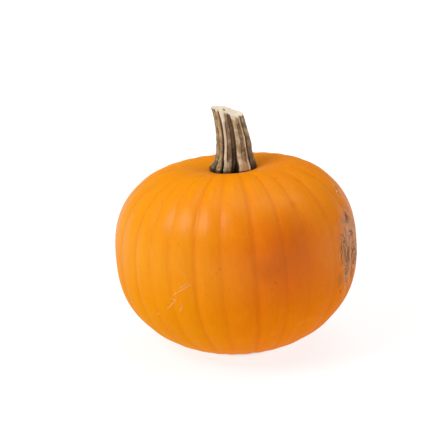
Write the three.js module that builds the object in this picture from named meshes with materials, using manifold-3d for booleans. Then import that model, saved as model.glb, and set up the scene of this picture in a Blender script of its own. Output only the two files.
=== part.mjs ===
// A ripe pumpkin with its cut stem, standing on the small flat spot under it.
// Millimetres, +Z up. The front, with the clearest grooves, faces -Y, and +X is its right-hand side.
// The origin is on the table, under the middle of the fruit.
import * as THREE from "three";
import Module from "manifold-3d";
import { mergeVertices } from "three/addons/utils/BufferGeometryUtils.js";

const wasm = await Module();
wasm.setup();

// The fruit's outline: a rounded barrel, flatter on top, with the stem's dimple and the blossom end's hollow
const FRUIT_RADIUS = 120.5;
const TOP_HEIGHT = 97.5;
const BOTTOM_HEIGHT = 99.4;
const TOP_SQUARENESS = 2.5;
const BOTTOM_SQUARENESS = 2.18;
const DIMPLE_DEPTH = 17.5;
const DIMPLE_WIDTH = 46;
const HOLLOW_DEPTH = 4.2;
const HOLLOW_WIDTH = 11;

// The fruit grew fuller on its left, leans that way, and lies on a spot flattened by the ground
const LEFT_FULLNESS = 0.022;
const LEAN = THREE.MathUtils.degToRad(-4);
const MIDDLE_HEIGHT = 97;
const MIDDLE_X = 2;

// Each groove between two ribs: its bearing in degrees, from the front towards +X, and its depth
const GROOVES = [
  [-67, 1.2], [-53, 1.2], [-42.5, 0.8], [-32, 0.9], [-19.5, 1.8], [-7.2, 1.2], [8.2, 2.1],
  [22, 1.4], [33.5, 0.9], [50.6, 1.2], [68.8, 1.3], [84, 0.9], [99.5, 1.2], [113, 0.8],
  [129, 1.3], [143.5, 0.8], [158, 1.0], [173, 1.3], [187.5, 0.8], [202, 1.1], [217, 0.8],
  [231, 1.2], [246.5, 0.9], [261, 1.2], [277, 1.0],
];
const ROUNDED_SHARE = 0.55;
const CREASE_SHARPNESS = 9;
const COLUMNS_PER_RIB = 6;
const FRUIT_ROWS = 32;

// The stem: its radius on the ridges at each height above the dimple's floor, from the root to the cut
const STEM_OUTLINE = [
  [-9, 12], [-4, 18], [0, 22.5], [3.5, 24.4], [8, 22.4], [12.3, 20.1],
  [17, 18.6], [24, 17.6], [36, 16.5], [50, 15.7], [61, 15.9],
];
const ROOT_DEPTH = 9;
const STEM_HEIGHT = 61;
const STEM_ROWS = 22;

// It leans to the right out of its foot, bends to the left, and was cut across with the left side higher
const NECK_REACH = 1.5;
const BEND_START = 8;
const BEND_REACH = -7.4;
const CUT_SLOPE = -0.23;
const TWIST = THREE.MathUtils.degToRad(6);

// Each ridge down the stem: its bearing in degrees and the depth of the furrow after it
const RIDGES = [
  [-60, 2.2], [-30, 2.6], [20, 1.6], [41, 2.2], [71, 2.4], [104, 2.2],
  [133, 2.4], [163, 2.2], [190, 2.5], [222, 2.2], [250, 2.3], [277, 2.0],
];
const FURROW_DEPTH_AT_FOOT = 2.1;
const FOOT_HEIGHT = 14;
const COLUMNS_PER_RIDGE = 6;

// The stem's root sits in the fruit with this much room all round
const ROOT_CLEARANCE = 0.3;

const SKIN = new THREE.MeshStandardMaterial({ color: 0xf08c10, roughness: 0.48, metalness: 0 });
const DRY_STEM = new THREE.MeshStandardMaterial({ color: 0x8f7350, roughness: 0.9, metalness: 0 });

const { smoothstep } = THREE.MathUtils;

// A closed solid on a grid of columns round +Z and rows from the bottom to the top.
// The lathe lays out the faces, and pointAt then puts each vertex in its place.
function turned(columns, rows, pointAt) {
  const unitProfile = [];
  for (let row = 0; row <= rows; row += 1) {
    unitProfile.push(new THREE.Vector2(row % rows === 0 ? 0 : 1, row / rows));
  }
  const geometry = new THREE.LatheGeometry(unitProfile, columns);
  const position = geometry.getAttribute("position");
  for (let column = 0; column <= columns; column += 1) {
    for (let row = 0; row <= rows; row += 1) {
      const point = pointAt(column % columns, row);
      position.setXYZ(column * (rows + 1) + row, point.x, point.y, point.z);
    }
  }
  return geometry;
}

// The bearing of a column, when every gap between two listed bearings holds the same number of columns
function bearingIn(list, columnsPerGap, column) {
  const index = Math.floor(column / columnsPerGap);
  const share = (column % columnsPerGap) / columnsPerGap;
  const [start, depth] = list[index];
  const [end, nextDepth] = list[(index + 1) % list.length];
  const gap = end > start ? end - start : end + 360 - start;
  return { bearing: THREE.MathUtils.degToRad(start + share * gap), share, depth, nextDepth };
}

// A point of the fruit's smooth outline, by its latitude
function outlineAt(latitude) {
  const across = Math.max(Math.cos(latitude), 0);
  const up = Math.sin(latitude);
  const squareness = up >= 0 ? TOP_SQUARENESS : BOTTOM_SQUARENESS;
  const reach = (across ** squareness + Math.abs(up) ** squareness) ** (-1 / squareness);
  const radius = FRUIT_RADIUS * across * reach;
  const dent =
    up >= 0
      ? -DIMPLE_DEPTH * Math.exp(-((radius / DIMPLE_WIDTH) ** 2))
      : HOLLOW_DEPTH * Math.exp(-((radius / HOLLOW_WIDTH) ** 2));
  return new THREE.Vector2(radius, (up >= 0 ? TOP_HEIGHT : BOTTOM_HEIGHT) * up * reach + dent);
}

// How far the skin sinks at a share of the way across one rib, from its groove to the next
function grooveSink({ share, depth, nextDepth }) {
  const mixed = THREE.MathUtils.lerp(nextDepth, depth, Math.cos((Math.PI * share) / 2) ** 2);
  const wave = Math.abs(Math.cos(Math.PI * share));
  return mixed * (ROUNDED_SHARE * wave ** 2 + (1 - ROUNDED_SHARE) * wave ** CREASE_SHARPNESS);
}

function fruitPoint(column, row) {
  const latitude = Math.PI * (row / FRUIT_ROWS - 0.5);
  const step = 1e-4;
  const here = outlineAt(latitude);
  const along = outlineAt(latitude + step).sub(outlineAt(latitude - step)).normalize();
  const outward = new THREE.Vector2(along.y, -along.x);
  const rib = bearingIn(GROOVES, COLUMNS_PER_RIB, column);
  const up = Math.sin(latitude);
  const strength = smoothstep(here.x, 12, 92) * (1 - 0.3 * smoothstep(-up, 0.5, 0.95));
  here.addScaledVector(outward, -grooveSink(rib) * strength);
  const radius = here.x * (1 - LEFT_FULLNESS * Math.sin(rib.bearing));
  return new THREE.Vector3(radius * Math.sin(rib.bearing), -radius * Math.cos(rib.bearing), here.y);
}

// The stem's radius over its ridges, read off its outline by height
function stemRadius(height) {
  const last = STEM_OUTLINE.length - 1;
  const above = Math.min(Math.max(STEM_OUTLINE.findIndex(([h]) => h >= height), 1), last);
  const [lowHeight, lowRadius] = STEM_OUTLINE[above - 1];
  const [highHeight, highRadius] = STEM_OUTLINE[above];
  return THREE.MathUtils.lerp(lowRadius, highRadius, (height - lowHeight) / (highHeight - lowHeight));
}

// The stem's side and its two ends, grown outwards by the clearance where a socket is wanted
function stemPoint(column, row, clearance) {
  const { bearing, share, depth } = bearingIn(RIDGES, COLUMNS_PER_RIDGE, column);
  const end = row === 0 || row === STEM_ROWS;
  const climb = (row - 1) / (STEM_ROWS - 2);
  const height = THREE.MathUtils.clamp(climb, 0, 1) * (STEM_HEIGHT + ROOT_DEPTH) - ROOT_DEPTH;
  const foot = 1 - smoothstep(height, 0, FOOT_HEIGHT);
  const furrow = depth * (1 + FURROW_DEPTH_AT_FOOT * foot) * Math.sin(Math.PI * share) ** 2;
  const buried = smoothstep(height, -ROOT_DEPTH, 0);
  const radius = end ? 0 : stemRadius(height) - furrow * buried + clearance;
  const turn = bearing + TWIST * (height / STEM_HEIGHT);
  const x = radius * Math.sin(turn);
  const neck = NECK_REACH * smoothstep(height, 3, FOOT_HEIGHT);
  const bend = neck + BEND_REACH * Math.max(0, (height - BEND_START) / (STEM_HEIGHT - BEND_START)) ** 2;
  const cut = CUT_SLOPE * x * smoothstep(height, STEM_HEIGHT / 2, STEM_HEIGHT);
  return new THREE.Vector3(x + bend, -radius * Math.cos(turn), height + cut - (row <= 1 ? clearance : 0));
}

function toSolid(geometry) {
  const bare = geometry.clone().deleteAttribute("normal").deleteAttribute("uv");
  const merged = mergeVertices(bare, 1e-4);
  const corners = merged.index.array;
  const kept = [];
  for (let i = 0; i < corners.length; i += 3) {
    const [a, b, c] = corners.slice(i, i + 3);
    if (a !== b && b !== c && c !== a) kept.push(a, b, c);
  }
  const vertProperties = new Float32Array(merged.getAttribute("position").array);
  return new wasm.Manifold(new wasm.Mesh({ numProp: 3, vertProperties, triVerts: new Uint32Array(kept) }));
}

function toGeometry(solid) {
  const { vertProperties, triVerts } = solid.getMesh();
  return new THREE.BufferGeometry()
    .setAttribute("position", new THREE.BufferAttribute(new Float32Array(vertProperties), 3))
    .setIndex(new THREE.BufferAttribute(new Uint32Array(triVerts), 1));
}

// Where the fruit stands, and where its dimple's floor is once the fruit leans
const fruitPlace = new THREE.Matrix4()
  .makeTranslation(MIDDLE_X, 0, MIDDLE_HEIGHT)
  .multiply(new THREE.Matrix4().makeRotationY(LEAN));
const dimpleFloor = new THREE.Vector3(0, 0, TOP_HEIGHT - DIMPLE_DEPTH).applyMatrix4(fruitPlace);

function makeFruit() {
  const whole = turned(GROOVES.length * COLUMNS_PER_RIB, FRUIT_ROWS, fruitPoint).applyMatrix4(fruitPlace);
  const table = new THREE.BoxGeometry(3 * FRUIT_RADIUS, 3 * FRUIT_RADIUS, FRUIT_RADIUS);
  table.translate(0, 0, -FRUIT_RADIUS / 2);
  const socket = turned(RIDGES.length * COLUMNS_PER_RIDGE, STEM_ROWS, (column, row) =>
    stemPoint(column, row, ROOT_CLEARANCE),
  ).translate(dimpleFloor.x, dimpleFloor.y, dimpleFloor.z);
  const solid = toSolid(whole).subtract(toSolid(table)).subtract(toSolid(socket));
  const mesh = new THREE.Mesh(toGeometry(solid), SKIN);
  mesh.name = "fruit";
  return mesh;
}

function makeStem() {
  const geometry = turned(RIDGES.length * COLUMNS_PER_RIDGE, STEM_ROWS, (column, row) =>
    stemPoint(column, row, 0),
  );
  const mesh = new THREE.Mesh(geometry, DRY_STEM);
  mesh.name = "stem";
  mesh.position.copy(dimpleFloor);
  return mesh;
}

const pumpkin = new THREE.Group();
pumpkin.add(makeFruit(), makeStem());

export default pumpkin;
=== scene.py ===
"""A ripe pumpkin with its dry stem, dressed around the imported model: metres, +Z up, front towards -Y."""
import math

import bpy
from mathutils import Matrix, Vector, noise
from mathutils.bvhtree import BVHTree


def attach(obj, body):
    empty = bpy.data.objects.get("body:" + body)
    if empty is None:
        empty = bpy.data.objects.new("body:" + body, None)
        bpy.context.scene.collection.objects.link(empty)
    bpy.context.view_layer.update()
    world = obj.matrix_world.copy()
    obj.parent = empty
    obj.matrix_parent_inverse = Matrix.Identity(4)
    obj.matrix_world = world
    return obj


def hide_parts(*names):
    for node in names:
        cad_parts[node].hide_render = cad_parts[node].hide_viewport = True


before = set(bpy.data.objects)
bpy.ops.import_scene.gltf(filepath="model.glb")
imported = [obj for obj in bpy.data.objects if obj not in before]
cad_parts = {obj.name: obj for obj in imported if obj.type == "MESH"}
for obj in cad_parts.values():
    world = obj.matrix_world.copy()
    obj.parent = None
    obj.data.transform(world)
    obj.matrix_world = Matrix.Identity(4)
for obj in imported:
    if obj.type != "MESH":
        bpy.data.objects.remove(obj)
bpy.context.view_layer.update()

# The ripe fruit is a waxy rind over firm flesh, grown in one piece. It swelled between the veins that
# run from the stem to the blossom end, so it has shallow ribs with a crease between each two, a
# dimple round the stem, and a flat spot where it lay on the ground.

FRUIT_RADIUS = 0.1205
TOP_HEIGHT = 0.0975
BOTTOM_HEIGHT = 0.0994
TOP_SQUARENESS = 2.5
BOTTOM_SQUARENESS = 2.18
DIMPLE_DEPTH = 0.0175
DIMPLE_WIDTH = 0.046
HOLLOW_DEPTH = 0.0042
HOLLOW_WIDTH = 0.011
LEFT_FULLNESS = 0.022
LEAN = math.radians(-4)
MIDDLE = Vector((0.002, 0, 0.097))

# Each crease: its bearing in degrees from the front towards +X, and its depth in millimetres
CREASES = [
    (-67, 1.2), (-53, 1.2), (-42.5, 0.8), (-32, 0.9), (-19.5, 1.8), (-7.2, 1.2), (8.2, 2.1),
    (22, 1.4), (33.5, 0.9), (50.6, 1.2), (68.8, 1.3), (84, 0.9), (99.5, 1.2), (113, 0.8),
    (129, 1.3), (143.5, 0.8), (158, 1.0), (173, 1.3), (187.5, 0.8), (202, 1.1), (217, 0.8),
    (231, 1.2), (246.5, 0.9), (261, 1.2), (277, 1.0),
]
COLUMNS_PER_RIB = 16
RIND_ROWS = 218

# How much of a groove's depth is rounded, how sharp its crease is, and how dark the painted shade in the
# crease gets
ROUNDED_SHARE = 0.62
CREASE_SHARPNESS = 24.0
CREASE_SHADE_PER_METRE = 500.0

# How unevenly the skin swelled
SWELL = 0.0009
SWELL_FINENESS = 17.0

# Where the rind healed over in cork, on its right: the patch's bearing, height and half size
CORK_BEARING, CORK_HEIGHT = 70, 0.106
CORK_REACH = (0.038, 0.038, 0.052)
CORK_RELIEF = 0.0009


def place(tree, kind, inputs=None, **settings):
    """Adds a node, sets it up, and gives each listed input a value or another node's output"""
    made = tree.nodes.new(kind)
    for name, value in settings.items():
        setattr(made, name, value)
    for key, source in (inputs or {}).items():
        if isinstance(source, bpy.types.NodeSocket):
            tree.links.new(source, made.inputs[key])
        else:
            made.inputs[key].default_value = source
    return made


def maths(tree, operation, *sources):
    return place(tree, "ShaderNodeMath", dict(enumerate(sources)), operation=operation).outputs[0]


def vector(tree, operation, *sources):
    return place(tree, "ShaderNodeVectorMath", dict(enumerate(sources)), operation=operation).outputs[0]


def scaled(tree, source, factor):
    inputs = {0: source, "Scale": factor}
    return place(tree, "ShaderNodeVectorMath", inputs, operation="SCALE").outputs[0]


def length_of(tree, source):
    return place(tree, "ShaderNodeVectorMath", {0: source}, operation="LENGTH").outputs["Value"]


def fade(tree, value, start, end, low=0.0, high=1.0):
    """Changes smoothly from low at start to high at end, and stays level outside"""
    inputs = {"Value": value, "From Min": start, "From Max": end, "To Min": low, "To Max": high}
    return place(tree, "ShaderNodeMapRange", inputs, interpolation_type="SMOOTHSTEP").outputs[0]


def cloud(tree, where, fineness, detail=4.0, rough=0.55):
    inputs = {"Vector": where, "Scale": fineness, "Detail": detail, "Roughness": rough}
    return place(tree, "ShaderNodeTexNoise", inputs).outputs[0]


def blot(tree, where, centre, reach, ragged, fineness, soft):
    """1 in the middle of a blot and 0 outside; reach is its half size along each axis"""
    distance = length_of(tree, vector(tree, "DIVIDE", vector(tree, "SUBTRACT", where, centre), reach))
    edge = maths(tree, "MULTIPLY_ADD", cloud(tree, where, fineness), ragged, -ragged / 2)
    return fade(tree, maths(tree, "ADD", distance, edge), 1.0, soft)


def new_tree(name, **sizes):
    """A geometry tree with one input for each size, and its input node's outputs"""
    tree = bpy.data.node_groups.new(name, "GeometryNodeTree")
    tree.interface.new_socket("Geometry", in_out="INPUT", socket_type="NodeSocketGeometry")
    tree.interface.new_socket("Geometry", in_out="OUTPUT", socket_type="NodeSocketGeometry")
    for label, size in sizes.items():
        kind = "NodeSocketInt" if isinstance(size, int) else "NodeSocketFloat"
        tree.interface.new_socket(label, in_out="INPUT", socket_type=kind).default_value = size
    return tree, place(tree, "NodeGroupInput").outputs


def close_tree(tree, geometry, material):
    """Ends a tree in real, smooth geometry of one material"""
    real = place(tree, "GeometryNodeRealizeInstances", {0: geometry}).outputs[0]
    smooth = place(tree, "GeometryNodeSetShadeSmooth", {0: real}).outputs[0]
    dressed = place(tree, "GeometryNodeSetMaterial", {0: smooth, "Material": material}).outputs[0]
    place(tree, "NodeGroupOutput", {0: dressed})


def store(tree, geometry, name, value, kind="FLOAT"):
    inputs = {"Geometry": geometry, "Name": name, "Value": value}
    node = place(tree, "GeometryNodeStoreNamedAttribute", inputs, data_type=kind, domain="POINT")
    return node.outputs[0]


def moved(tree, geometry, **target):
    """Puts the points at Position, or shifts them by Offset"""
    return place(tree, "GeometryNodeSetPosition", {"Geometry": geometry, **target}).outputs[0]


def grow(name, points, tree, edges=(), **sizes):
    """Makes an object of the points, runs the tree on it, and keeps the result as a plain mesh"""
    mesh = bpy.data.meshes.new(name)
    mesh.from_pydata(points, edges, [])
    piece = bpy.data.objects.new(name, mesh)
    bpy.context.scene.collection.objects.link(piece)
    modifier = piece.modifiers.new("grown", "NODES")
    modifier.node_group = tree
    for item in tree.interface.items_tree:
        if item.in_out == "INPUT" and item.name in sizes:
            modifier[item.identifier] = sizes[item.name]
    depsgraph = bpy.context.evaluated_depsgraph_get()
    grown = bpy.data.meshes.new_from_object(
        piece.evaluated_get(depsgraph), preserve_all_data_layers=True, depsgraph=depsgraph
    )
    piece.modifiers.clear()
    piece.data = grown
    return piece


def outline_point(tree, bearing, latitude):
    """A point of the fruit's smooth outline: a rounded barrel, dented at both ends"""
    across = maths(tree, "MAXIMUM", maths(tree, "COSINE", latitude), 0.0)
    up = maths(tree, "SINE", latitude)
    on_top = maths(tree, "GREATER_THAN", up, 0.0)
    change = TOP_SQUARENESS - BOTTOM_SQUARENESS
    squareness = maths(tree, "MULTIPLY_ADD", on_top, change, BOTTOM_SQUARENESS)
    powers = maths(
        tree, "ADD",
        maths(tree, "POWER", across, squareness),
        maths(tree, "POWER", maths(tree, "ABSOLUTE", up), squareness),
    )
    reach = maths(tree, "POWER", powers, maths(tree, "DIVIDE", -1.0, squareness))
    radius = maths(tree, "MULTIPLY", maths(tree, "MULTIPLY", across, reach), FRUIT_RADIUS)
    dent = 0.0
    for share, depth, width in (
        (on_top, -DIMPLE_DEPTH, DIMPLE_WIDTH),
        (maths(tree, "SUBTRACT", 1.0, on_top), HOLLOW_DEPTH, HOLLOW_WIDTH),
    ):
        squared = maths(tree, "POWER", maths(tree, "DIVIDE", radius, width), 2.0)
        bell = maths(tree, "EXPONENT", maths(tree, "MULTIPLY", squared, -1.0))
        dip = maths(tree, "MULTIPLY", maths(tree, "MULTIPLY", bell, depth), share)
        dent = maths(tree, "ADD", dent, dip)
    half_height = maths(tree, "MULTIPLY_ADD", on_top, TOP_HEIGHT - BOTTOM_HEIGHT, BOTTOM_HEIGHT)
    height = maths(tree, "MULTIPLY", maths(tree, "MULTIPLY", up, reach), half_height)
    east = maths(tree, "SINE", bearing)
    fuller = maths(tree, "MULTIPLY", radius, maths(tree, "MULTIPLY_ADD", east, -LEFT_FULLNESS, 1.0))
    x = maths(tree, "MULTIPLY", fuller, east)
    y = maths(tree, "MULTIPLY", fuller, maths(tree, "MULTIPLY", maths(tree, "COSINE", bearing), -1.0))
    inputs = {0: x, 1: y, 2: maths(tree, "ADD", height, dent)}
    return place(tree, "ShaderNodeCombineXYZ", inputs).outputs[0], radius, up


def rib_across(tree, creases, at, turn):
    """The bearing and the groove's depth at a place across a rib, and the share of the way across"""
    rib = maths(tree, "FLOOR", turn)
    share = maths(tree, "FRACT", turn)
    ends = []
    for index in (rib, maths(tree, "ADD", rib, 1.0)):
        inputs = {"Geometry": creases, "Value": at, "Index": index}
        found = place(tree, "GeometryNodeSampleIndex", inputs, data_type="FLOAT_VECTOR", clamp=True)
        ends.append(place(tree, "ShaderNodeSeparateXYZ", {0: found.outputs[0]}).outputs)
    (start, depth), (end, next_depth) = [(found[0], found[1]) for found in ends]
    bearing = maths(tree, "MULTIPLY_ADD", share, maths(tree, "SUBTRACT", end, start), start)
    near = maths(tree, "POWER", maths(tree, "COSINE", maths(tree, "MULTIPLY", share, math.pi / 2)), 2.0)
    change = maths(tree, "SUBTRACT", depth, next_depth)
    return bearing, maths(tree, "MULTIPLY_ADD", near, change, next_depth), share


def groove_section(tree, share, roundness, sharpness):
    """How deep the skin lies across a rib, as a share of its groove's depth, and the crease alone"""
    wave = maths(tree, "ABSOLUTE", maths(tree, "COSINE", maths(tree, "MULTIPLY", share, math.pi)))
    rounded = maths(tree, "MULTIPLY", maths(tree, "POWER", wave, 2.0), roundness)
    line = maths(tree, "POWER", wave, sharpness)
    pinch = maths(tree, "MULTIPLY", line, maths(tree, "SUBTRACT", 1.0, roundness))
    return maths(tree, "ADD", rounded, pinch), line


def raise_skin(tree, shape, at, swell, cork_middle):
    """Sinks the grooves, swells the skin unevenly, and wrinkles it where it healed over in cork"""
    uneven = maths(tree, "SUBTRACT", cloud(tree, at, SWELL_FINENESS, 2.0), 0.5)
    swollen = maths(tree, "MULTIPLY", uneven, swell)
    sunk = place(tree, "GeometryNodeInputNamedAttribute", {"Name": "sink"}, data_type="FLOAT").outputs[0]
    lift = maths(tree, "SUBTRACT", swollen, sunk)
    cork = blot(tree, at, cork_middle, CORK_REACH, 1.1, 38.0, 0.45)
    wrinkle = maths(tree, "SUBTRACT", cloud(tree, at, 150.0, 5.0, 0.6), 0.5)
    lift = maths(tree, "MULTIPLY_ADD", maths(tree, "MULTIPLY", cork, wrinkle), CORK_RELIEF * 2, lift)
    normal = place(tree, "GeometryNodeInputNormal").outputs[0]
    return moved(tree, store(tree, shape, "cork", cork), Offset=scaled(tree, normal, lift))


def rind_tree(skin, cork_middle):
    """Lays a grid round the fruit, sinks the creases, and leans the fruit on its flat spot"""
    tree, given = new_tree("ribbed_rind", Columns=1, Rows=1, Roundness=0.5, Sharpness=1.0, Swell=0.0)
    grid = place(
        tree, "GeometryNodeMeshGrid",
        {
            "Size X": float(len(CREASES)),
            "Size Y": math.pi,
            "Vertices X": maths(tree, "ADD", given["Columns"], 1.0),
            "Vertices Y": maths(tree, "ADD", given["Rows"], 1.0),
        },
    ).outputs[0]
    at = place(tree, "GeometryNodeInputPosition").outputs[0]
    parts = place(tree, "ShaderNodeSeparateXYZ", {0: at}).outputs
    turn = maths(tree, "ADD", parts[0], len(CREASES) / 2)
    bearing, depth, share = rib_across(tree, given["Geometry"], at, turn)
    section, line = groove_section(tree, share, given["Roundness"], given["Sharpness"])
    point, radius, up = outline_point(tree, bearing, parts[1])
    strength = fade(tree, radius, 0.018, 0.092)
    strength = maths(tree, "MULTIPLY", strength, fade(tree, up, -0.95, -0.5, 0.7, 1.0))
    sink = maths(tree, "MULTIPLY", maths(tree, "MULTIPLY", depth, section), strength)
    drawn = maths(tree, "MULTIPLY", maths(tree, "MULTIPLY", line, depth), strength)
    inputs = {0: maths(tree, "SINE", bearing), 1: maths(tree, "COSINE", bearing), 2: parts[1]}
    along = place(tree, "ShaderNodeCombineXYZ", inputs).outputs[0]
    shape = store(tree, grid, "sink", sink)
    # The crease's mask, kept for the painted shade that darkens the creases
    shape = store(tree, shape, "crease", maths(tree, "MULTIPLY", drawn, CREASE_SHADE_PER_METRE))
    shape = store(tree, shape, "along", along, "FLOAT_VECTOR")
    shape = store(tree, shape, "from_stem", radius)
    shape = moved(tree, shape, Position=point)
    shape = place(tree, "GeometryNodeMergeByDistance", {"Geometry": shape, "Distance": 1e-6}).outputs[0]
    shape = raise_skin(tree, shape, at, given["Swell"], cork_middle)
    inputs = {"Geometry": shape, "Translation": MIDDLE, "Rotation": (0, LEAN, 0)}
    leaning = place(tree, "GeometryNodeTransform", inputs).outputs[0]
    grounded = vector(tree, "MAXIMUM", at, (-1.0, -1.0, 0.0))
    close_tree(tree, moved(tree, leaning, Position=grounded), skin)
    return tree


def on_axis(height):
    """A point on the leaning fruit's axis, at a height over the fruit's middle"""
    return Matrix.Translation(MIDDLE) @ Matrix.Rotation(LEAN, 4, "Y") @ Vector((0, 0, height))


def upright(bearing, height):
    """A point on the fruit before it leans, near enough for a blot"""
    turned = math.radians(bearing)
    inward = math.sqrt(max(0.0, 1 - (abs(height - MIDDLE.z) / TOP_HEIGHT) ** 2.4))
    across = Vector((math.sin(turned), -math.cos(turned), 0)) * FRUIT_RADIUS * inward
    return across + Vector((0, 0, height - MIDDLE.z))


rind_skin = bpy.data.materials.new("ripe_rind")
crease_points = [Vector((math.radians(bearing), depth / 1000, 0)) for bearing, depth in CREASES]
crease_points.append(crease_points[0] + Vector((math.tau, 0, 0)))
rind = grow(
    "rind", crease_points, rind_tree(rind_skin, upright(CORK_BEARING, CORK_HEIGHT)),
    Columns=COLUMNS_PER_RIB * len(CREASES), Rows=RIND_ROWS, Swell=SWELL,
    Sharpness=CREASE_SHARPNESS, Roundness=ROUNDED_SHARE,
)
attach(rind, "root")
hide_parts("fruit")

rind_faces = BVHTree.FromObject(rind, bpy.context.evaluated_depsgraph_get())


def on_rind(bearing, height_mm):
    """The rind's point and its outward direction at a bearing in degrees and a height in millimetres"""
    turned = math.radians(bearing)
    outward = Vector((math.sin(turned), -math.cos(turned), 0))
    start = Vector((MIDDLE.x, 0, height_mm / 1000)) + outward * FRUIT_RADIUS * 2
    point, direction, _, _ = rind_faces.ray_cast(start, -outward)
    return point, direction


def grain_group():
    """Fine lines that run along the third part of a vector: a mask from 0 to 1"""
    tree = bpy.data.node_groups.new("growth_lines", "ShaderNodeTree")
    tree.interface.new_socket("Vector", in_out="INPUT", socket_type="NodeSocketVector")
    for label in ("Fineness", "Stretch"):
        tree.interface.new_socket(label, in_out="INPUT", socket_type="NodeSocketFloat")
    tree.interface.new_socket("Mask", in_out="OUTPUT", socket_type="NodeSocketFloat")
    given = place(tree, "NodeGroupInput").outputs
    parts = place(tree, "ShaderNodeSeparateXYZ", {0: given["Vector"]}).outputs
    length = maths(tree, "DIVIDE", parts[2], given["Stretch"])
    drawn = place(tree, "ShaderNodeCombineXYZ", {0: parts[0], 1: parts[1], 2: length}).outputs[0]
    mottled = cloud(tree, drawn, given["Fineness"], 5.0, 0.6)
    place(tree, "NodeGroupOutput", {0: fade(tree, mottled, 0.3, 0.7)})
    return tree


GROWTH_LINES = grain_group()


def lines(tree, along, fineness, stretch):
    inputs = {"Vector": along, "Fineness": fineness, "Stretch": stretch}
    return place(tree, "ShaderNodeGroup", inputs, node_tree=GROWTH_LINES).outputs[0]


def open_material(material, specular):
    """The material's tree, its shader and the object coordinates"""
    material.use_nodes = True
    tree = material.node_tree
    shader = tree.nodes["Principled BSDF"]
    shader.inputs["Specular IOR Level"].default_value = specular
    return tree, shader, place(tree, "ShaderNodeTexCoord").outputs["Object"]


def attribute(tree, name, output="Fac"):
    return place(tree, "ShaderNodeAttribute", attribute_name=name).outputs[output]


def tint(tree, factor, first, second):
    return place(tree, "ShaderNodeMix", {0: factor, 6: first, 7: second}, data_type="RGBA").outputs[2]


def dab(tree, under, amount, mask, colour):
    """Puts a colour over another where the mask is"""
    return tint(tree, maths(tree, "MULTIPLY", mask, amount), under, colour)


def relief(tree, shader, height, distance):
    inputs = {"Height": height, "Distance": distance, "Strength": 1.0}
    tree.links.new(place(tree, "ShaderNodeBump", inputs).outputs["Normal"], shader.inputs["Normal"])


RIPE_ORANGE = (0.84, 0.306, 0.001, 1)
DEEP_ORANGE = (0.79, 0.158, 0.001, 1)
GOLD = (0.91, 0.335, 0.006, 1)
CREASE_SHADE_ORANGE = (0.62, 0.12, 0.001, 1)
BRUISE = (0.44, 0.075, 0.001, 1)
PAINTED_SHADE_ORANGE = (0.70, 0.115, 0.001, 1)
CORK_TAN = (0.72, 0.30, 0.11, 1)
CORK_GREY = (0.48, 0.235, 0.12, 1)
CORK_DARK = (0.13, 0.055, 0.022, 1)
GROUND_PALE = (0.78, 0.42, 0.10, 1)
STEM_SHADE = (0.34, 0.11, 0.03, 1)

# Dull blots and small dark dots on the skin: bearing, height in millimetres, half size, how strong
BLOTS = [
    (27, 138, 30, 0.24), (22, 116, 27, 0.30), (12.5, 107, 18, 0.34), (31, 164, 6.5, 0.2),
    (57.4, 73, 2.4, 0.9), (16.1, 98, 1.6, 0.5), (14.7, 91.6, 1.3, 0.5), (-46.4, 163, 1.7, 0.25),
    (3.3, 138.4, 1.5, 0.2), (-4.3, 92.7, 1.6, 0.2), (30.6, 183, 1.8, 0.5), (128, 120, 14, 0.25),
    (-8.2, 111.5, 1.9, 0.34), (-9.8, 107.5, 1.8, 0.26), (-11.6, 103, 1.8, 0.2),
    (163, 84, 2, 0.5), (201, 140, 12, 0.2), (238, 70, 2, 0.5), (262, 118, 9, 0.2),
]

# Painted shade: a deeper orange patch on the right of the front, where its shade is darkest: the middle
# and the half size of that area
SHADE_PATCH_BEARING, SHADE_PATCH_HEIGHT = 24, 120
SHADE_PATCH_REACH = (0.058, 0.050, 0.058)

# The darkest scabs in the corky patch: bearing, height, half width and half length, and how strong
SCABS = [
    (61, 111, 8, 15, 0.48), (63, 130, 6, 7, 0.40), (72.5, 100, 5, 9, 0.36), (70, 140, 4, 9, 0.26),
    (71.5, 124, 4, 6, 0.36), (60, 88, 7, 7, 0.20), (55, 86, 6, 10, 0.26),
]

# Painted shade on the dimple's slope, to the right of the stem
STEM_SIDE_SHADE = (0.026, 0.002, 0.183)
STEM_SIDE_SHADE_REACH = (0.011, 0.009, 0.012)

WAX_ROUGHNESS = 0.33
SKIN_RELIEF = 0.00028


def ripe_colour(tree, where, across, up, along):
    """Orange with painted shade that deepens it towards the right, most in one patch there, and darkens
    the creases; with gold mottling and growth lines
    """
    broad = fade(tree, cloud(tree, where, 11.0, 3.0), 0.35, 0.68)
    # Painted shade: the orange deepens towards the right side, less at the top and the bottom
    shaded_side = fade(tree, across, -0.09, 0.035, 0.0, 0.75)
    shaded_side = maths(tree, "MULTIPLY", shaded_side, fade(tree, up, 0.18, 0.13, 0.5, 1.0))
    shaded_side = maths(tree, "MULTIPLY", shaded_side, fade(tree, up, 0.03, 0.09, 0.75, 1.0))
    deep_and_shade = maths(tree, "MULTIPLY_ADD", broad, 0.16, shaded_side)
    colour = tint(tree, deep_and_shade, RIPE_ORANGE, DEEP_ORANGE)
    mottled = fade(tree, cloud(tree, where, 48.0, 6.0, 0.62), 0.48, 0.75)
    colour = dab(tree, colour, 0.28, mottled, GOLD)
    colour = dab(tree, colour, 0.2, lines(tree, along, 26.0, 9.0), DEEP_ORANGE)
    colour = dab(tree, colour, 0.16, lines(tree, along, 95.0, 14.0), GOLD)
    # Painted shade: the creases darkened towards a deeper orange
    colour = dab(tree, colour, 0.3, attribute(tree, "crease"), CREASE_SHADE_ORANGE)
    # Painted shade: a deeper orange patch on the shaded right of the front
    shade_patch_middle, _ = on_rind(SHADE_PATCH_BEARING, SHADE_PATCH_HEIGHT)
    shaded = blot(tree, where, shade_patch_middle, SHADE_PATCH_REACH, 0.5, 30.0, 0.2)
    return dab(tree, colour, 0.5, shaded, PAINTED_SHADE_ORANGE)


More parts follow.
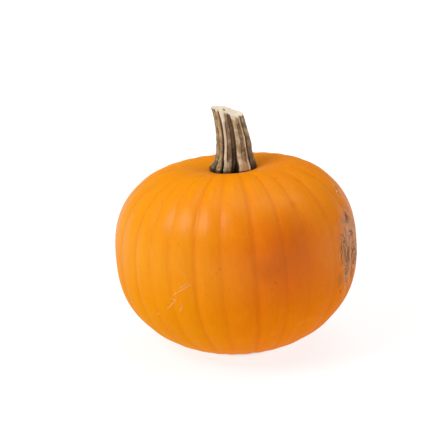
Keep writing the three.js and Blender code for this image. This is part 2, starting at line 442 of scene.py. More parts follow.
def add_bruises(tree, where, colour):
    """Dull blots, small dots, and a few fine specks between them"""
    for bearing, height, size, amount in BLOTS:
        point, _ = on_rind(bearing, height)
        reach = Vector((size, size, size * 1.2)) / 1000
        bruised = blot(tree, where, point, reach, 1.2, 300.0 / size, 0.0)
        colour = dab(tree, colour, amount, bruised, BRUISE)
    inputs = {"Vector": where, "Scale": 210.0}
    cells = place(tree, "ShaderNodeTexVoronoi", inputs, feature="F1").outputs[0]
    specks = fade(tree, cells, 0.17, 0.08)
    rare = fade(tree, cloud(tree, where, 60.0, 1.0), 0.56, 0.62)
    return dab(tree, colour, 0.35, maths(tree, "MULTIPLY", specks, rare), BRUISE)


def add_cork(tree, where, cork, colour):
    """The corky patch with its net of fine cracks and its scabs; the cracks are also a height"""
    scab = fade(tree, cloud(tree, where, 130.0, 6.0, 0.65), 0.40, 0.62)
    corky = tint(tree, scab, CORK_GREY, CORK_TAN)
    inputs = {"Vector": where, "Scale": 90.0, "Detail": 3.0}
    stray = place(tree, "ShaderNodeTexNoise", inputs, normalize=False).outputs["Color"]
    bent = vector(tree, "ADD", where, scaled(tree, stray, 0.006))
    net = vector(tree, "MULTIPLY", bent, (1.0, 1.0, 0.6))
    inputs = {"Vector": net, "Scale": 170.0}
    gaps = place(tree, "ShaderNodeTexVoronoi", inputs, feature="DISTANCE_TO_EDGE").outputs["Distance"]
    broken = fade(tree, cloud(tree, where, 70.0, 2.0), 0.42, 0.60)
    cracks = maths(tree, "MULTIPLY", fade(tree, gaps, 0.10, 0.02), broken)
    corky = dab(tree, corky, 0.6, cracks, CORK_DARK)
    colour = tint(tree, maths(tree, "MULTIPLY", cork, 0.78), colour, corky)
    for bearing, height, width, length, amount in SCABS:
        point, _ = on_rind(bearing, height)
        reach = Vector((width, width, length)) / 1000
        scabbed = blot(tree, where, point, reach, 0.9, 160.0, 0.35)
        colour = dab(tree, colour, amount, scabbed, CORK_DARK)
    return colour, cracks


def add_stem_shade_and_ground_spot(tree, where, lain, colour):
    """Painted shade in a ring round the stem's foot and beside the stem, and pale skin where the fruit lay
    """
    from_stem = attribute(tree, "from_stem")
    # Painted shade: the rind darkened in a ragged ring round the stem's foot
    from_foot = maths(tree, "MULTIPLY_ADD", cloud(tree, where, 130.0), 0.010, from_stem)
    colour = dab(tree, colour, 0.45, fade(tree, from_foot, 0.033, 0.026), STEM_SHADE)
    # Painted shade on the dimple's slope to the right of the stem
    beside = blot(tree, where, STEM_SIDE_SHADE, STEM_SIDE_SHADE_REACH, 1.2, 130.0, 0.2)
    colour = dab(tree, colour, 0.12, beside, STEM_SHADE)
    return dab(tree, colour, 0.8, lain, GROUND_PALE)


def dress_rind():
    tree, shader, where = open_material(rind_skin, 0.004)
    parts = place(tree, "ShaderNodeSeparateXYZ", {0: where}).outputs
    across, up = parts[0], parts[2]
    along = attribute(tree, "along", "Vector")
    cork = attribute(tree, "cork")
    off_ground = maths(tree, "MULTIPLY_ADD", cloud(tree, where, 40.0), 0.012, up)
    lain = fade(tree, off_ground, 0.012, 0.005)
    colour = add_bruises(tree, where, ripe_colour(tree, where, across, up, along))
    colour, cracks = add_cork(tree, where, cork, colour)
    tree.links.new(add_stem_shade_and_ground_spot(tree, where, lain, colour), shader.inputs["Base Color"])
    waxy = fade(tree, up, 0.06, 0.13, 0.03, 0.36)
    waxy = maths(tree, "MULTIPLY", waxy, fade(tree, up, 0.180, 0.164, 0.35, 1.0))
    tree.links.new(waxy, shader.inputs["Coat Weight"])
    shader.inputs["Coat Roughness"].default_value = WAX_ROUGHNESS
    rough = maths(tree, "MULTIPLY_ADD", cloud(tree, where, 70.0, 3.0), 0.16, 0.32)
    rough = maths(tree, "MULTIPLY_ADD", cork, 0.42, rough)
    tree.links.new(maths(tree, "MULTIPLY_ADD", lain, 0.3, rough), shader.inputs["Roughness"])
    pores = cloud(tree, where, 900.0, 3.0, 0.7)
    skin = maths(tree, "MULTIPLY_ADD", lines(tree, along, 120.0, 10.0), 0.5, pores)
    waves = maths(tree, "MULTIPLY_ADD", cloud(tree, where, 120.0, 3.0), 1.6, skin)
    crumbs = maths(tree, "MULTIPLY_ADD", cracks, -3.0, cloud(tree, where, 420.0, 5.0))
    rugged = maths(tree, "MULTIPLY", cork, crumbs)
    relief(tree, shader, maths(tree, "MULTIPLY_ADD", rugged, 2.0, waves), SKIN_RELIEF)


dress_rind()

# Fine lines of corky tissue mark old wounds: pale scratches low on the left of the front, and light
# ridges and dark cracks in the corky patch on the right. They follow the skin and barely stand proud.

# Each stroke: the bearings and the heights in millimetres that it runs through
SCRATCHES = [
    [(-20.9, 95.9), (-23.4, 92.4), (-25.8, 88.9), (-29.1, 84.2), (-31.6, 80.4)],
    [(-22.4, 96.4), (-26.8, 90.3)],
    [(-32.7, 78.3), (-29.1, 78.1), (-31.4, 72.8), (-35.0, 65.4)],
    [(-26.3, 75.7), (-26.4, 71.0), (-28.2, 66.2)],
    [(-40.4, 59.7), (-42.2, 56.8)],
]
LIGHT_RIDGES = [
    [(64.7, 96.9), (59.4, 92.9), (57.7, 89.3)],
    [(58.6, 92.1), (60.0, 82.0), (63.1, 68.7)],
    [(77.1, 156.6), (77.7, 145.4), (76.3, 134.3), (78.4, 121.0), (77.2, 112.0)],
    [(66.6, 119.0), (66.0, 108.0), (65.6, 97.5)],
    [(59.2, 121.0), (60.6, 113.0), (60.1, 104.5)],
    [(71.0, 97.0), (70.9, 103.4), (72.4, 106.0), (74.2, 102.0)],
    [(75.1, 166.0), (72.7, 162.0), (72.4, 157.0)],
    [(66.0, 88.0), (68.2, 78.0), (71.5, 70.0)],
    [(83.0, 118.0), (84.0, 104.0), (82.0, 92.0)],
]
DARK_CRACKS = [
    [(63.3, 127.4), (67.0, 121.5), (64.4, 109.6), (63.4, 96.2)],
    [(57.0, 124.0), (55.7, 113.9), (56.0, 104.0), (58.3, 99.6)],
    [(69.8, 146.8), (70.0, 143.3), (68.1, 137.2), (69.1, 133.3)],
    [(68.2, 127.7), (71.8, 126.0), (72.1, 121.0)],
    [
        (69.4, 95.9), (69.1, 103.0), (70.6, 107.9), (73.7, 108.3), (75.9, 104.0), (74.8, 98.0),
        (73.1, 94.9),
    ],
    [(76.1, 167.0), (73.9, 162.8), (73.5, 157.8)],
    [(81.2, 167.1), (77.9, 162.4)],
    [(58.6, 97.0), (60.6, 92.0), (59.4, 87.0)],
    [(86.0, 127.0), (85.2, 121.5)],
]
STROKE_STEPS = 7
STROKE_WANDER = 0.45
SCRATCH_THICKNESS = 0.00046
CORK_THICKNESS = 0.00055


def lines_tree(material):
    """Makes a fine tube of each stroke, which thins out at both ends and swells here and there"""
    tree, given = new_tree("healed_lines", Thickness=0.0004, Spacing=0.0007)
    curve = place(tree, "GeometryNodeMeshToCurve", {0: given["Geometry"]}).outputs[0]
    inputs = {"Curve": curve, "Length": given["Spacing"]}
    even = place(tree, "GeometryNodeResampleCurve", inputs, mode="LENGTH").outputs[0]
    share = place(tree, "GeometryNodeSplineParameter").outputs["Factor"]
    from_middle = maths(tree, "ABSOLUTE", maths(tree, "SUBTRACT", share, 0.5))
    taper = fade(tree, from_middle, 0.5, 0.25, 0.3, 1.0)
    at = place(tree, "GeometryNodeInputPosition").outputs[0]
    swelling = maths(tree, "MULTIPLY_ADD", cloud(tree, at, 420.0, 2.0), 1.4, 0.3)
    width = maths(tree, "MULTIPLY", maths(tree, "MULTIPLY", taper, swelling), given["Thickness"])
    ring = place(tree, "GeometryNodeCurvePrimitiveCircle", {"Resolution": 8, "Radius": 1.0}).outputs[0]
    inputs = {"Curve": even, "Profile Curve": ring, "Scale": width, "Fill Caps": True}
    close_tree(tree, place(tree, "GeometryNodeCurveToMesh", inputs).outputs[0], material)
    return tree


def draw_on_rind(name, strokes, material, thickness, proud):
    """Lays strokes of bearing and height on the rind, with the given share of their thickness proud"""
    points, edges = [], []
    for stroke in strokes:
        start = len(points)
        stops = []
        for here, there in zip(stroke, stroke[1:]):
            stops += [(here, there, step / STROKE_STEPS) for step in range(STROKE_STEPS)]
        stops.append((stroke[-1], stroke[-1], 0.0))
        for (bearing, height), (next_bearing, next_height), share in stops:
            along = height + (next_height - height) * share
            stray = STROKE_WANDER * noise.noise(Vector((bearing, along * 0.6, 2.0)))
            point, outward = on_rind(bearing + (next_bearing - bearing) * share + stray, along)
            points.append(point + outward * thickness * (2 * proud - 1))
        edges += [(spot, spot + 1) for spot in range(start, len(points) - 1)]
    piece = grow(name, points, lines_tree(material), edges, Thickness=thickness)
    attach(piece, "root")


def dress_cork(name, first, second, fineness):
    """Dry corky tissue: two tones in fine patches, with a rough grain"""
    material = bpy.data.materials.new(name)
    tree, shader, where = open_material(material, 0.2)
    shader.inputs["Roughness"].default_value = 0.85
    patches = fade(tree, cloud(tree, where, fineness, 4.0, 0.6), 0.35, 0.65)
    tree.links.new(tint(tree, patches, first, second), shader.inputs["Base Color"])
    relief(tree, shader, cloud(tree, where, fineness * 3, 4.0, 0.7), 0.0002)
    return material


PALE_SCAR = (0.84, 0.42, 0.17, 1)
PINK_SCAR = (0.84, 0.34, 0.09, 1)
LIGHT_CORK = (0.74, 0.42, 0.21, 1)
WARM_CORK = (0.70, 0.31, 0.11, 1)
CRACK_BROWN = (0.28, 0.12, 0.055, 1)
CRACK_DARK = (0.13, 0.06, 0.03, 1)

scar = dress_cork("pale_scar", PALE_SCAR, PINK_SCAR, 500.0)
cork_light = dress_cork("light_cork", LIGHT_CORK, WARM_CORK, 400.0)
cork_dark = dress_cork("cracked_cork", CRACK_BROWN, CRACK_DARK, 400.0)
draw_on_rind("healed_scratches", SCRATCHES, scar, SCRATCH_THICKNESS, 0.42)
draw_on_rind("cork_ridges", LIGHT_RIDGES, cork_light, CORK_THICKNESS, 0.45)
draw_on_rind("cork_cracks", DARK_CRACKS, cork_dark, CORK_THICKNESS, 0.28)

# Small warts are scattered over the rind, where insects or grit once pricked the young skin.

WARTS_PER_SQUARE_METRE = 420.0
WART_SEED = 7
WART_RADIUS = 0.0005
LEAST_WART, LARGEST_WART = (0.5, 0.5, 0.25), (1.2, 1.3, 0.5)


def warts_tree(material, skin_piece):
    """Scatters low, flat grains over another object's faces"""
    tree, given = new_tree("scattered_warts", Density=1.0, Seed=1)
    skin = place(tree, "GeometryNodeObjectInfo", {"Object": skin_piece}).outputs["Geometry"]
    inputs = {"Mesh": skin, "Density": given["Density"], "Seed": given["Seed"]}
    spread = place(tree, "GeometryNodeDistributePointsOnFaces", inputs).outputs
    inputs = {"Radius": WART_RADIUS, "Subdivisions": 3}
    grain = place(tree, "GeometryNodeMeshIcoSphere", inputs).outputs[0]
    inputs = {"Min": LEAST_WART, "Max": LARGEST_WART, "Seed": given["Seed"]}
    sizes = place(tree, "FunctionNodeRandomValue", inputs, data_type="FLOAT_VECTOR").outputs[0]
    inputs = {
        "Points": spread["Points"], "Rotation": spread["Rotation"], "Instance": grain, "Scale": sizes,
    }
    close_tree(tree, place(tree, "GeometryNodeInstanceOnPoints", inputs).outputs[0], material)
    return tree


WART_BROWN = (0.50, 0.20, 0.04, 1)
WART_TAN = (0.72, 0.38, 0.12, 1)

wart_skin = dress_cork("dry_warts", WART_BROWN, WART_TAN, 90.0)
warts = grow(
    "skin_warts", [], warts_tree(wart_skin, rind), Density=WARTS_PER_SQUARE_METRE, Seed=WART_SEED,
)
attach(warts, "root")

# The blossom left a dry round scar in the hollow under the fruit: a rough corky disc with a small
# raised knob where the flower stood. Its sizes are in millimetres.

SCAR_RADIUS = 6.5
SCAR_RINGS = 14
SCAR_COLUMNS = 48
SCAR_THICKNESS = 0.9
SCAR_CLEARANCE = 0.6
SCAR_BURIED = 0.3
RIM_RAGGEDNESS = 0.16
RAY_COUNT, RAY_HEIGHT = 10, 0.16
KNOB_HEIGHT, KNOB_SHARE = 0.7, 0.22
SCAR_GRAIN = 0.22


def blossom_mesh():
    """A closed disc whose lower face has rays, a knob and a ragged rim"""
    middle = on_axis(HOLLOW_DEPTH - BOTTOM_HEIGHT)
    points, faces = [], []
    for bulge in (1, 0):
        for ring in range(SCAR_RINGS + 1):
            share = ring / SCAR_RINGS
            for column in range(SCAR_COLUMNS):
                turn = math.tau * column / SCAR_COLUMNS
                east, south = math.cos(turn), math.sin(turn)
                ragged = 1 + RIM_RAGGEDNESS * noise.noise(Vector((east * 2.2, south * 2.2, 5.0)))
                rays = RAY_HEIGHT * math.cos(RAY_COUNT * turn) * math.sin(math.pi * share)
                rough = SCAR_GRAIN * noise.noise(Vector((east, south, 3.0)) * share * 4)
                knob = KNOB_HEIGHT * math.exp(-((share / KNOB_SHARE) ** 2))
                down = bulge * (SCAR_THICKNESS * (1 - share**4) + knob + rays + rough)
                spot = Vector((east, south, 0)) * SCAR_RADIUS * share * ragged
                lifted = max(middle.z * 1000 - down + SCAR_BURIED, SCAR_CLEARANCE)
                x, y = middle.x * 1000 + spot.x, middle.y * 1000 + spot.y
                points.append(Vector((x, y, lifted)) / 1000)
    size = (SCAR_RINGS + 1) * SCAR_COLUMNS
    for layer in range(2):
        for ring in range(SCAR_RINGS):
            for column in range(SCAR_COLUMNS):
                beside = (column + 1) % SCAR_COLUMNS
                near = layer * size + ring * SCAR_COLUMNS
                far = near + SCAR_COLUMNS
                corners = (near + column, near + beside, far + beside, far + column)
                faces.append(corners if layer == 0 else corners[::-1])
    for column in range(SCAR_COLUMNS):
        beside = (column + 1) % SCAR_COLUMNS
        low = SCAR_RINGS * SCAR_COLUMNS
        faces.append((low + column, low + beside, size + low + beside, size + low + column))
    mesh = bpy.data.meshes.new("blossom_scar")
    mesh.from_pydata(points, [], faces)
    mesh.polygons.foreach_set("use_smooth", [True] * len(faces))
    return mesh


SCAR_BROWN = (0.22, 0.12, 0.06, 1)
SCAR_TAN = (0.46, 0.30, 0.16, 1)

blossom = bpy.data.objects.new("blossom_scar", blossom_mesh())
bpy.context.scene.collection.objects.link(blossom)
blossom.data.materials.append(dress_cork("blossom_cork", SCAR_BROWN, SCAR_TAN, 300.0))
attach(blossom, "root")

# The stem is dry woody vine, grown out of the dimple in one piece. Its ridges spread into toes at the
# foot and twist a little on the way up. It was cut and broken across at the top, which bared the
# pale pith and took some bark off the ridges' ends. Its sizes are in millimetres.

STEM_HEIGHT = 61.0
ROOT_DEPTH = 9.0
# Its radius over the ridges at each height above the dimple's floor
STEM_OUTLINE = [
    (-9, 12), (-4, 18), (0, 22.5), (3.5, 24.4), (8, 22.4), (12.3, 20.1),
    (17, 18.6), (24, 17.6), (36, 16.5), (50, 15.7), (61, 15.9), (70, 15.9),
]
NECK_REACH = 1.5
BEND_START, BEND_REACH = 8.0, -7.4
TWIST = 6.0
FOOT_HEIGHT = 14.0
FURROW_DEPTH = 2.3
TOE_DEPTH = 1.9

# The cut's height across the stem, from its left to its right, and how far it tips to the front
CUT = [(-17, 3.6), (-9.5, 2.4), (-3, 1.7), (2, -1.0), (8.5, -3.2), (17, -3.6)]
CUT_TIP = 0.07

# The hole in the pith, darkened with painted shade: its middle across and back, its half sizes, and its
# depth
PITH_HOLE = (-3.0, 0.6, 1.9, 5.4, 1.2)
PITH_SAG = 0.7

# Each ridge: its bearing and half width in degrees, how high it stands, how pale it is above and at
# its toe, how far down from the cut its bark is gone, and how many degrees its toe turns to the right
RIDGES = [
    (-76, 14, 0.95, 0.40, 0.30, 1.0, 4), (-51, 7.5, 0.95, 0.50, 0.55, 2.2, 8),
    (-30, 5.5, 1.0, 1.0, 0.92, 12, 10), (-16, 7, 0.70, 0.27, 0.98, 3.0, 4),
    (-2, 4, 0.38, 0.12, 0.10, 2.0, 0), (15, 8, 0.97, 0.74, 0.86, 4.5, 10),
    (30, 8, 0.84, 0.36, 0.80, 1.5, 9), (41, 3.6, 1.0, 0.95, 0.90, 2.5, 5),
    (70, 19, 0.95, 0.38, 0.05, 0.8, 0), (99, 6, 1.0, 0.62, 0.5, 2.5, 0),
    (115, 10, 0.95, 0.40, 0.2, 1.5, -3), (139, 12, 1.0, 0.45, 0.3, 1.2, -4),
    (163, 7, 0.95, 0.85, 0.75, 6.0, 0), (188, 13, 1.0, 0.35, 0.2, 1.0, 3),
    (215, 8, 0.9, 0.70, 0.6, 3.0, 0), (243, 13, 1.0, 0.50, 0.3, 1.5, 0),
    (264, 4, 0.9, 0.75, 0.6, 2.0, 0),
]
BETWEEN_RIDGES = (0.0, 0.1, 1.2)
RIDGE_SIDE = 5.5
RIDGE_WANDER = 1.4
STEM_COLUMNS = 360
STEM_STEP = 0.55
STEM_ROWS = round((STEM_HEIGHT + ROOT_DEPTH) / STEM_STEP)
FACE_RINGS = 26
FIBRE = 0.20
FIBRE_FINENESS = 17
FIBRE_STRETCH = 0.05
LUMPS = 0.55

# What each point tells the material: how far up a ridge it is (on the cut face, low in the pith hole,
# where painted shade goes), how pale its bark is, whether the wood is bare, how far up the stem it is, and
# whether it is on the cut face
NOTED = ("ridge", "pale", "bare", "climb", "face")


def smooth(value, start, end):
    """Rises smoothly from 0 at start to 1 at end"""
    share = min(max((value - start) / (end - start), 0.0), 1.0)
    return share * share * (3 - 2 * share)


def read_off(listed, at):
    """The value of a listed curve at a place, with its corners rounded off"""
    total = 0.0
    for nudge in (-1.8, -0.9, 0.0, 0.9, 1.8):
        spot = min(max(at + nudge, listed[0][0]), listed[-1][0])
        for (low, first), (high, second) in zip(listed, listed[1:]):
            if low <= spot <= high:
                total += first + (second - first) * (spot - low) / (high - low)
                break
    return total / 5


def on_ridge(bearing, height):
    """How far up its ridge a bearing is, and that ridge's paleness and bare length"""
    best = BETWEEN_RIDGES
    foot = 1 - smooth(height, 2, FOOT_HEIGHT + 4)
    for centre, half_width, stands, pale, toe_pale, bare, toe in RIDGES:
        wander = RIDGE_WANDER * noise.noise(Vector((centre, height / 13, 3.1)))
        apart = abs((bearing - centre - toe * foot - wander + 180) % 360 - 180)
        widened = 0.4 * bare * smooth(height, STEM_HEIGHT - 1.6 * bare, STEM_HEIGHT)
        reach = half_width * (1 + 0.2 * foot) + widened
        rounded = 1 - 0.15 * (apart / reach) ** 2
        level = stands * smooth(reach + RIDGE_SIDE / 2 - apart, 0, RIDGE_SIDE) * rounded
        if level > best[0]:
            best = (level, pale + (toe_pale - pale) * foot, bare)
    return best


def cut_height(x, y):
    """How far the cut stands over the stem's mean height"""
    tipped = CUT_TIP * y * smooth(x, -8, 8)
    return read_off(CUT, x) + tipped + 0.5 * noise.noise(Vector((x, y, 0)) * 0.45)


def bend_at(height):
    """How far the stem's middle is to the right of its foot's middle"""
    neck = NECK_REACH * smooth(height, 3, FOOT_HEIGHT)
    return neck + BEND_REACH * max(0.0, (height - BEND_START) / (STEM_HEIGHT - BEND_START)) ** 2


def bark_radius(outer, east, south, height, level):
    """The stem's radius with its furrows, fibres and lumps"""
    foot = 1 - smooth(height, 0, FOOT_HEIGHT)
    buried = smooth(height, -ROOT_DEPTH, 0)
    radius = outer - buried * FURROW_DEPTH * (1 + TOE_DEPTH * foot) * (1 - level)
    strand = Vector((east * FIBRE_FINENESS, south * FIBRE_FINENESS, height * FIBRE_STRETCH))
    radius += FIBRE * noise.noise(strand * 1.3) + FIBRE * 0.7 * noise.noise(strand * 2.9)
    radius += FIBRE * 0.5 * noise.noise(strand * 6.5)
    return radius + LUMPS * noise.noise(Vector((east * 3, south * 3, height * 0.16)))


def add_bark(points, notes):
    """The bark's rows of points from the root up; the last row's places are the cut's rim"""
    for row in range(STEM_ROWS + 1):
        height = row * STEM_STEP - ROOT_DEPTH
        outer = read_off(STEM_OUTLINE, height)
        bend = bend_at(height)
        climb = max(height, 0) / STEM_HEIGHT
        rim = []
        for column in range(STEM_COLUMNS):
            bearing = column * 360 / STEM_COLUMNS
            level, pale, bare = on_ridge(bearing, height)
            turn = math.radians(bearing + TWIST * height / STEM_HEIGHT)
            east, south = math.sin(turn), -math.cos(turn)
            radius = bark_radius(outer, east, south, height, level)
            x, y = radius * east, radius * south
            lifted = height + cut_height(x, y) * smooth(height, STEM_HEIGHT / 2, STEM_HEIGHT)
            points.append(Vector((x + bend, y, lifted)))
            ragged = bare + 2.2 * noise.noise(Vector((east * 9, south * 9, height * 0.1)))
            bared = smooth(height, STEM_HEIGHT - ragged, STEM_HEIGHT - ragged + 1.6)
            notes.append((level, pale, bared, climb, 0.0))
            rim.append((x, y))
    return rim


def add_cut_face(points, notes, rim):
    """The cut face's rings of points inside its rim, dished round a dark hole, and its middle"""
    bend = bend_at(STEM_HEIGHT)
    hole_x, hole_y, width, length, depth = PITH_HOLE
    for ring in range(1, FACE_RINGS):
        inward = 1 - ring / FACE_RINGS
        for rim_x, rim_y in rim:
            x, y = rim_x * inward, rim_y * inward
            hole = math.exp(-(((x - hole_x) / width) ** 2) - ((y - hole_y) / length) ** 2)
            rough = 0.45 * noise.noise(Vector((x, y, 4)) * 0.9)
            rough += 0.25 * noise.noise(Vector((x, y, 9)) * 2.2)
            dished = -PITH_SAG * (1 - inward**2) + rough * smooth(ring, 0, 3) - depth * hole
            points.append(Vector((x + bend, y, STEM_HEIGHT + cut_height(x, y) + dished)))
            notes.append((1.0 - hole, 1.0, 1.0, 1.0, 1.0))
    points.append(Vector((bend, 0, STEM_HEIGHT + cut_height(0, 0) - PITH_SAG)))
    notes.append((1.0, 1.0, 1.0, 1.0, 1.0))


def stem_mesh():
    """Bark all round, closed by the cut face above and by a point at the root"""
    points, notes, faces = [], [], []
    add_cut_face(points, notes, add_bark(points, notes))
    top, root = len(points) - 1, len(points)
    points.append(Vector((0, 0, -ROOT_DEPTH)))
    notes.append((0.0, 0.0, 0.0, 0.0, 0.0))
    for row in range(STEM_ROWS + FACE_RINGS - 1):
        for column in range(STEM_COLUMNS):
            here = row * STEM_COLUMNS + column
            beside = row * STEM_COLUMNS + (column + 1) % STEM_COLUMNS
            faces.append((here, beside, beside + STEM_COLUMNS, here + STEM_COLUMNS))
    for column in range(STEM_COLUMNS):
        beside = (column + 1) % STEM_COLUMNS
        faces.append((top - STEM_COLUMNS + column, top - STEM_COLUMNS + beside, top))
        faces.append((beside, column, root))
    middle = on_axis(TOP_HEIGHT - DIMPLE_DEPTH)
    mesh = bpy.data.meshes.new("woody_stem")
    mesh.from_pydata([middle + point / 1000 for point in points], [], faces)
    for key, values in zip(NOTED, zip(*notes)):
        mesh.attributes.new(key, "FLOAT", "POINT").data.foreach_set("value", values)
    mesh.polygons.foreach_set("use_smooth", [True] * len(faces))
    return mesh


DRY_FURROW = (0.13, 0.085, 0.045, 1)
FOOT_DARK_AND_SHADE = (0.014, 0.008, 0.005, 1)
BROWN_BARK = (0.20, 0.13, 0.075, 1)
TAN_BARK = (0.57, 0.40, 0.20, 1)
CREAM_BARK = (0.80, 0.66, 0.47, 1)
BARE_WOOD = (0.80, 0.70, 0.57, 1)
PITH_HOLE_SHADE = (0.24, 0.15, 0.09, 1)
BARK_RELIEF = 0.00035


def dress_stem(material):
    """Brown to cream bark on the ridges, dark furrows, a darker foot with painted shade low in its furrows
    and where it meets the rind, and bare wood at the cut
    """
    tree, shader, where = open_material(material, 0.25)
    ridge, pale, bare, climb, face = [attribute(tree, name) for name in NOTED]
    strands = lines(tree, where, 420.0, 11.0)
    weathered = cloud(tree, where, 130.0, 5.0, 0.65)
    mottled = fade(tree, weathered, 0.35, 0.65)
    tone = maths(tree, "MULTIPLY_ADD", mottled, 0.46, maths(tree, "SUBTRACT", pale, 0.23))
    bark = tint(tree, fade(tree, tone, 0.2, 0.62), BROWN_BARK, TAN_BARK)
    bark = tint(tree, fade(tree, tone, 0.62, 1.0), bark, CREAM_BARK)
    bark = dab(tree, bark, 0.35, strands, BROWN_BARK)
    # Painted shade: the furrows darken to near black towards the foot
    low = fade(tree, climb, 0.75, 0.15)
    furrow = tint(tree, low, DRY_FURROW, FOOT_DARK_AND_SHADE)
    edge = maths(tree, "MULTIPLY_ADD", maths(tree, "SUBTRACT", strands, 0.5), 0.35, ridge)
    colour = tint(tree, fade(tree, edge, 0.25, 0.80), furrow, bark)
    # Darker patches, more of them towards the foot
    low_dark_patches = fade(tree, cloud(tree, where, 95.0, 4.0), 0.48, 0.66)
    low_dark_patches = maths(tree, "MULTIPLY", low_dark_patches, fade(tree, climb, 0.75, 0.1))
    colour = dab(tree, colour, 0.5, low_dark_patches, FOOT_DARK_AND_SHADE)
    dust = fade(tree, cloud(tree, where, 650.0, 3.0, 0.7), 0.50, 0.66)
    colour = dab(tree, colour, 0.22, dust, TAN_BARK)
    toes = maths(tree, "MULTIPLY", fade(tree, pale, 0.5, 0.2), fade(tree, climb, 0.30, 0.10))
    colour = dab(tree, colour, 0.75, toes, FOOT_DARK_AND_SHADE)
    wood = tint(tree, fade(tree, cloud(tree, where, 300.0, 4.0), 0.3, 0.8), BARE_WOOD, CREAM_BARK)
    # Painted shade in the pith hole on the cut face
    wood = tint(tree, fade(tree, ridge, 0.75, 0.25), wood, PITH_HOLE_SHADE)
    colour = tint(tree, bare, colour, wood)
    # Painted shade where the stem's foot meets the rind
    contact_shade = fade(tree, climb, 0.105, 0.075)
    colour = dab(tree, colour, 0.8, contact_shade, FOOT_DARK_AND_SHADE)
    tree.links.new(colour, shader.inputs["Base Color"])
    rough = maths(tree, "MULTIPLY_ADD", weathered, 0.2, 0.70)
    tree.links.new(maths(tree, "MULTIPLY_ADD", face, 0.05, rough), shader.inputs["Roughness"])
    grit = maths(tree, "MULTIPLY_ADD", strands, 0.8, cloud(tree, where, 700.0, 5.0, 0.7))
    relief(tree, shader, grit, BARK_RELIEF)


dry_bark = bpy.data.materials.new("dry_bark")
stem = bpy.data.objects.new("woody_stem", stem_mesh())
bpy.context.scene.collection.objects.link(stem)
stem.data.materials.append(dry_bark)
dress_stem(dry_bark)
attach(stem, "root")
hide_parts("stem")

# The camera stands where the photograph was taken from, about 1.3 m away and a little above the
# fruit. It looks at the fruit's middle, and the shift frames it as the photograph does.

VIEW_ELEVATION = math.radians(15.55)
VIEW_DISTANCE = 1.3
FRAME_WIDTH, FRAME_HEIGHT = 440, 422
MIDDLE_ACROSS, MIDDLE_DOWN = 238.9, 249.9
SENSOR_WIDTH = 36.0
FLOOR_SIZE = 80.0

camera = bpy.data.objects.new("camera", bpy.data.cameras.new("camera"))
bpy.context.scene.collection.objects.link(camera)
bpy.context.scene.camera = camera
back = Vector((0, -math.cos(VIEW_ELEVATION), math.sin(VIEW_ELEVATION)))
camera.location = MIDDLE + back * VIEW_DISTANCE
camera.rotation_euler = (math.pi / 2 - VIEW_ELEVATION, 0, 0)
camera.data.sensor_width = SENSOR_WIDTH
camera.data.lens = SENSOR_WIDTH * VIEW_DISTANCE * 1000 / FRAME_WIDTH
camera.data.shift_x = (FRAME_WIDTH / 2 - MIDDLE_ACROSS) / FRAME_WIDTH
camera.data.shift_y = (MIDDLE_DOWN - FRAME_HEIGHT / 2) / FRAME_WIDTH
camera.data.clip_end = FLOOR_SIZE * 1.5

# The fruit stands on a plain white studio floor, which glows so that it stays white. Bright soft
# lamps stand high on the left of the front and overhead, and weak ones on the left and the right, in
# a dim room whose walls are white near the floor.

FLOOR_DROP = 0.0004
FLOOR_GREY = (0.25, 0.25, 0.25, 1)
WHITE = (1, 1, 1, 1)

# The floor's glow near the fruit and far from it, and the share of it left where the fruit touches, which
# paints a contact shadow there
NEAR_GLOW, FAR_GLOW = 0.82, 0.96
CONTACT_SHADOW_GLOW = 0.2

# How bright the room's walls are near the floor, and the rest of the room
LOW_WALLS, HIGH_WALLS = 0.95, 0.24

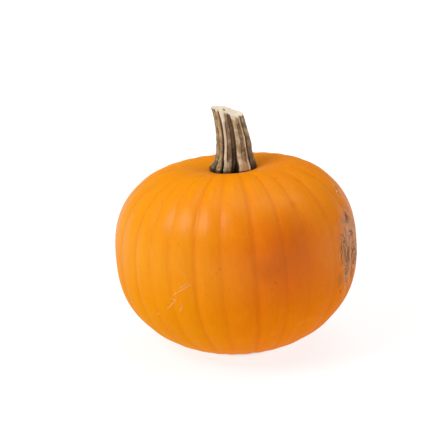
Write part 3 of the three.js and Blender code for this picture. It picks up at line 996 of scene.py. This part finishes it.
floor_mesh = bpy.data.meshes.new("floor")
half, low = FLOOR_SIZE / 2, -FLOOR_DROP
corners = [(-half, -half, low), (half, -half, low), (half, half, low), (-half, half, low)]
floor_mesh.from_pydata(corners, [], [(0, 1, 2, 3)])
floor = bpy.data.objects.new("floor", floor_mesh)
bpy.context.scene.collection.objects.link(floor)
floor_white = bpy.data.materials.new("floor_white")
floor_white.use_nodes = True
floor_tree = floor_white.node_tree
floor_shader = floor_tree.nodes["Principled BSDF"]
floor_shader.inputs["Base Color"].default_value = FLOOR_GREY
floor_shader.inputs["Roughness"].default_value = 0.9
floor_shader.inputs["Specular IOR Level"].default_value = 0.1
floor_shader.inputs["Emission Color"].default_value = WHITE
floor_distance = length_of(floor_tree, place(floor_tree, "ShaderNodeTexCoord").outputs["Object"])
floor_glow = fade(floor_tree, floor_distance, 0.25, 1.6, NEAR_GLOW, FAR_GLOW)
# Painted shadow: the floor's glow dims round where the fruit touches it
floor_contact_shadow = fade(floor_tree, floor_distance, 0.024, 0.046, CONTACT_SHADOW_GLOW, 1.0)
floor_glow = maths(floor_tree, "MULTIPLY", floor_glow, floor_contact_shadow)
floor_tree.links.new(floor_glow, floor_shader.inputs["Emission Strength"])
floor_mesh.materials.append(floor_white)


def lamp(name, place_at, width, height, watts, colour=(1, 1, 1)):
    """A soft lamp that faces the fruit's middle"""
    light = bpy.data.lights.new(name, "AREA")
    light.shape = "RECTANGLE"
    light.size = width
    light.size_y = height
    light.energy = watts
    light.color = colour
    holder = bpy.data.objects.new(name, light)
    bpy.context.scene.collection.objects.link(holder)
    holder.location = place_at
    holder.rotation_euler = (MIDDLE - Vector(place_at)).to_track_quat("-Z", "Y").to_euler()


lamp("left_lamp", (-2.05, -0.35, 1.35), 2.2, 2.2, 5, (1.0, 0.985, 0.96))
lamp("main_lamp", (-1.45, -0.98, 1.80), 1.5, 1.1, 34)
lamp("right_lamp", (1.8, -0.5, 1.0), 1.6, 1.6, 2.5)
lamp("top_lamp", (0.4, 0.3, 2.4), 2.4, 2.4, 32)

world = bpy.data.worlds.new("white_room")
bpy.context.scene.world = world
world.use_nodes = True
room = world.node_tree
room.nodes["Background"].inputs["Color"].default_value = WHITE
toward = place(room, "ShaderNodeTexCoord").outputs["Generated"]
above = place(room, "ShaderNodeSeparateXYZ", {0: toward}).outputs[2]
walls = fade(room, above, 0.03, 0.16, LOW_WALLS, HIGH_WALLS)
room.links.new(walls, room.nodes["Background"].inputs["Strength"])
bpy.context.scene.view_settings.view_transform = "Standard"
